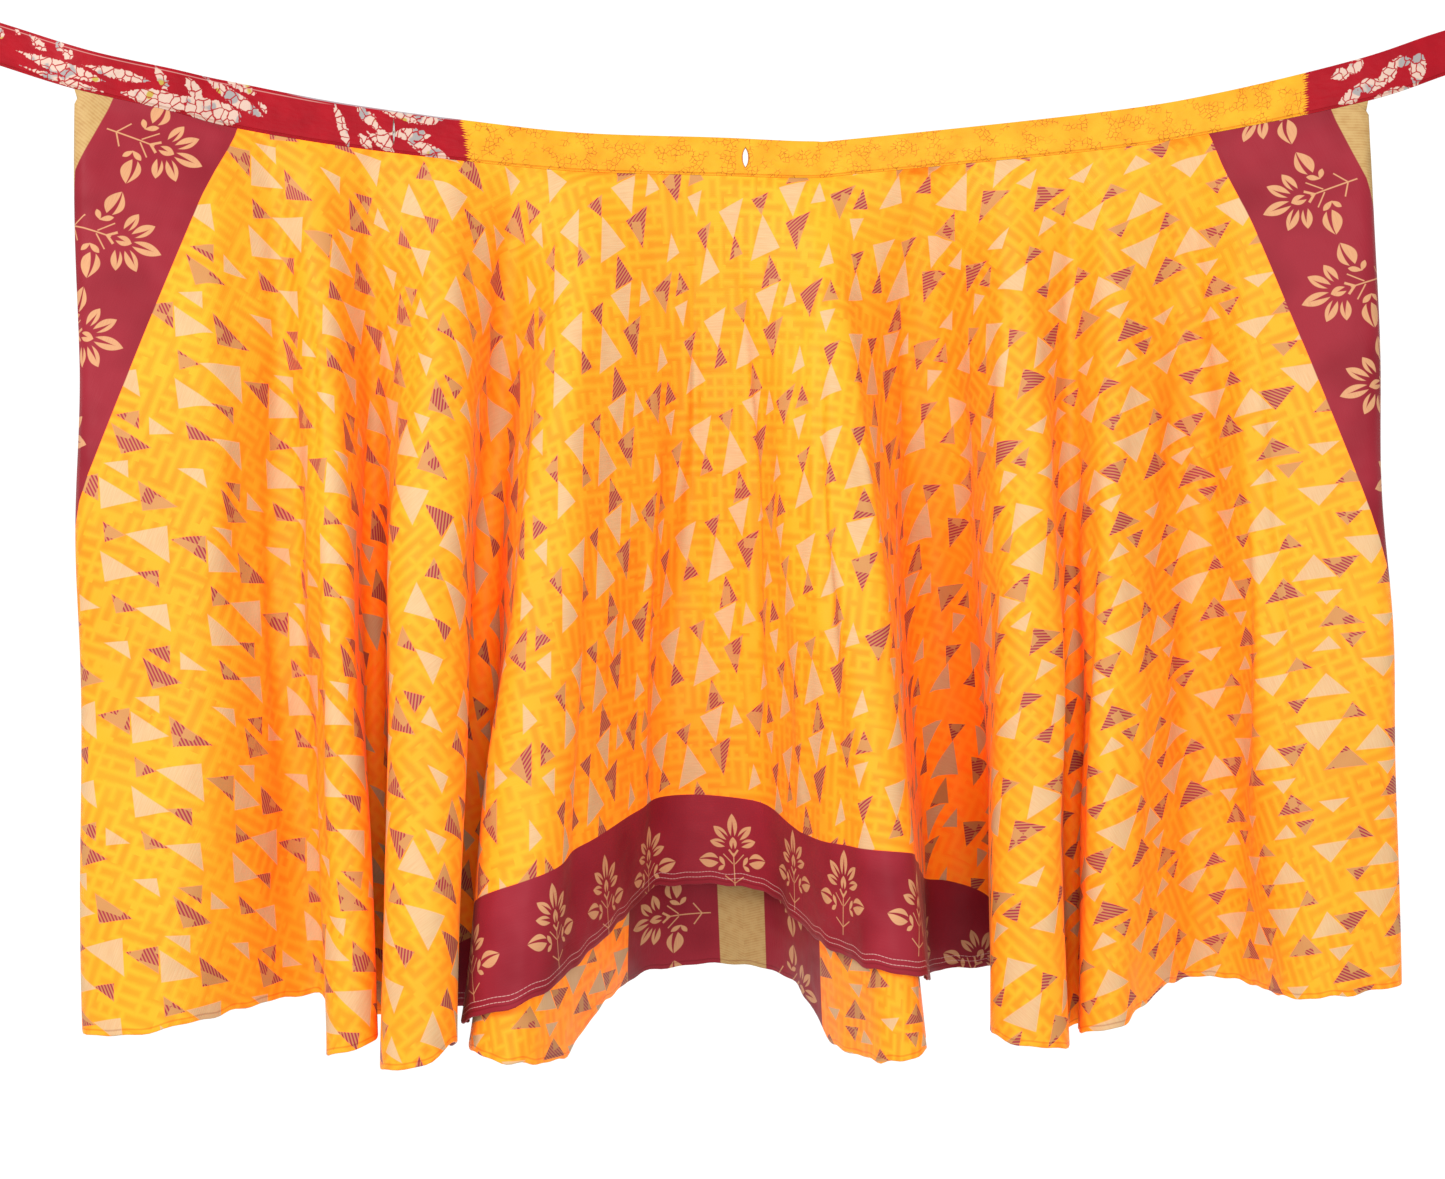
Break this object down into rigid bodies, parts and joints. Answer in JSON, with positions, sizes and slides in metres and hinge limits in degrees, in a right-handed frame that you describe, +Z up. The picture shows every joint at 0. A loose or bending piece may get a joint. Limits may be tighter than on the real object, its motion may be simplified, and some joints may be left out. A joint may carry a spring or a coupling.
{
  "type": "wrap skirt",
  "caption": "Layered wrap skirt, opened out and hanging in deep folds from a sagging waistband held up by its ties, with the side edges turned back.",
  "frame": {"origin": "midway between the two places where the ties are held, level with the middle of the ties there", "axes": "+X towards the wearer's right tie as seen in the picture (picture right), -Y out of the front of the skirt, +Z up; it hangs along -Z"},
  "size_m": [1.5507, 0.4194, 1.0571],
  "materials": {
    "sari_yellow": "printed art silk, soft sheen",
    "sari_orange": "printed art silk, soft sheen",
    "band_yellow": "printed art silk, folded and stitched",
    "band_red": "printed art silk, folded and stitched"
  },
  "bodies": {
    "root": {"outer_layer": "sari_yellow", "under_layer_left": "sari_orange", "under_layer_right": "sari_orange", "waistband": "band_yellow", "tie_left": "band_red", "tie_right": "band_red"}
  },
  "joints": []
}
